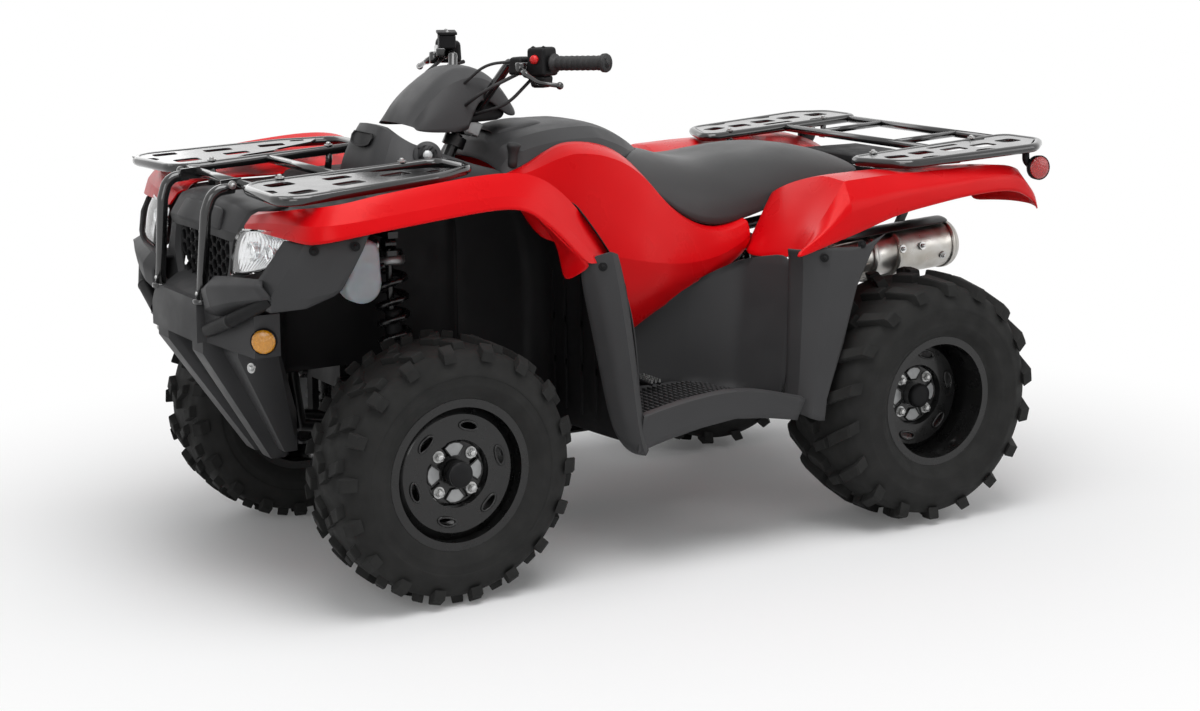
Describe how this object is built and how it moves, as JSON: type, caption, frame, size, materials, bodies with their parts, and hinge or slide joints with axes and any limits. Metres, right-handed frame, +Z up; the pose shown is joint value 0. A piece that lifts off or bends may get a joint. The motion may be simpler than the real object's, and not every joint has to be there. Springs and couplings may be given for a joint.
{
  "type": "quad bike",
  "caption": "Utility quad bike with front and rear racks, brush guard, straddle seat, handlebar steering, independent front suspension and a solid rear axle.",
  "frame": {"origin": "on the ground, midway between the axles and midway across the quad bike", "axes": "+X forwards, +Y to the rider's left, +Z up"},
  "size_m": [2.1176, 1.129, 1.1517],
  "materials": {
    "frame_paint": "black satin paint",
    "engine_alloy": "cast alloy, dark grey",
    "spring_black": "black powder coat",
    "damper_black": "black with bright rod",
    "plastic_grey": "textured dark grey",
    "plastic_black": "textured black",
    "plastic_red": "glossy red",
    "rack_paint": "black satin paint",
    "lamp_clear": "clear lens",
    "lens_amber": "amber lens",
    "lens_red": "red lens",
    "bottle": "translucent white",
    "vinyl_grey": "smooth dark grey seat cover",
    "stainless": "brushed, heat tinted",
    "rubber_black": "black rubber",
    "tyre_black": "black",
    "rim_black": "black satin paint",
    "alloy_dark": "cast, dark",
    "steel": "plain steel"
  },
  "bodies": {
    "chassis": {"frame": "frame_paint", "engine": "engine_alloy", "swingarm": "frame_paint", "suspension_arms": "frame_paint", "shock_dampers": "damper_black", "shock_springs": "spring_black", "skid_plate": "plastic_black", "hitch": "frame_paint", "front_bumper": "plastic_grey", "bumper_bar": "plastic_grey", "brush_guard": "rack_paint", "front_panel": "plastic_grey", "grille": "plastic_black", "headlights": "lamp_clear", "amber_reflectors": "lens_amber", "tail_reflectors": "lens_red", "front_fenders": "plastic_red", "side_guards": "plastic_grey", "arch_liners": "plastic_black", "front_mudguards": "plastic_grey", "footwells": "plastic_grey", "rear_mudguards": "plastic_grey", "front_deck": "plastic_black", "console": "plastic_grey", "tank_cover": "plastic_grey", "side_covers": "plastic_red", "seat": "vinyl_grey", "rear_fenders": "plastic_red", "rear_cover": "plastic_black", "front_rack": "rack_paint", "rear_rack": "rack_paint", "coolant_bottle": "bottle", "radiator": "alloy_dark", "exhaust": "stainless", "gear_lever": "plastic_black"},
    "steering": {"steering_column": "frame_paint", "handlebar": "rack_paint", "grips": "rubber_black", "bar_controls": "plastic_black", "handlebar_cover": "plastic_grey"},
    "left_knuckle_body": {"left_knuckle": "alloy_dark"},
    "right_knuckle_body": {"right_knuckle": "alloy_dark"},
    "left_tie_rod_body": {"left_tie_rod": "steel"},
    "right_tie_rod_body": {"right_tie_rod": "steel"},
    "front_left": {"front_left_tyre": "tyre_black", "front_left_wheel": "rim_black"},
    "front_right": {"front_right_tyre": "tyre_black", "front_right_wheel": "rim_black"},
    "rear": {"rear_tyres": "tyre_black", "rear_wheels": "rim_black", "rear_axle": "steel"}
  },
  "joints": [
    {"name": "steer", "type": "hinge", "parent": "chassis", "child": "steering", "pos_m": [0.62554, 0, 0.40292], "axis": [-0.4226, 0, 0.9063], "range_deg": [-32, 32]},
    {"name": "left_kingpin", "type": "hinge", "parent": "chassis", "child": "left_knuckle_body", "pos_m": [0.6335, 0.325, 0.29], "axis": [0, 0, 1], "range_deg": [-32, 32]},
    {"name": "right_kingpin", "type": "hinge", "parent": "chassis", "child": "right_knuckle_body", "pos_m": [0.6335, -0.325, 0.29], "axis": [0, 0, 1], "range_deg": [-32, 32]},
    {"name": "left_tie_rod_end", "type": "hinge", "parent": "left_knuckle_body", "child": "left_tie_rod_body", "pos_m": [0.5485, 0.343, 0.341], "axis": [0, 0, 1], "range_deg": [-32, 32]},
    {"name": "right_tie_rod_end", "type": "hinge", "parent": "right_knuckle_body", "child": "right_tie_rod_body", "pos_m": [0.5485, -0.343, 0.341], "axis": [0, 0, 1], "range_deg": [-32, 32]},
    {"name": "front_left_spin", "type": "hinge", "parent": "left_knuckle_body", "child": "front_left", "pos_m": [0.6335, 0.4, 0.29], "axis": [0, 1, 0], "continuous": true},
    {"name": "front_right_spin", "type": "hinge", "parent": "right_knuckle_body", "child": "front_right", "pos_m": [0.6335, -0.4, 0.29], "axis": [0, 1, 0], "continuous": true},
    {"name": "rear_spin", "type": "hinge", "parent": "chassis", "child": "rear", "pos_m": [-0.6335, 0, 0.304], "axis": [0, 1, 0], "continuous": true}
  ],
  "couplings": [
    {"joint": "left_kingpin", "follows": "steer", "ratio": 1},
    {"joint": "right_kingpin", "follows": "steer", "ratio": 1},
    {"joint": "left_tie_rod_end", "follows": "steer", "ratio": -1},
    {"joint": "right_tie_rod_end", "follows": "steer", "ratio": -1}
  ]
}
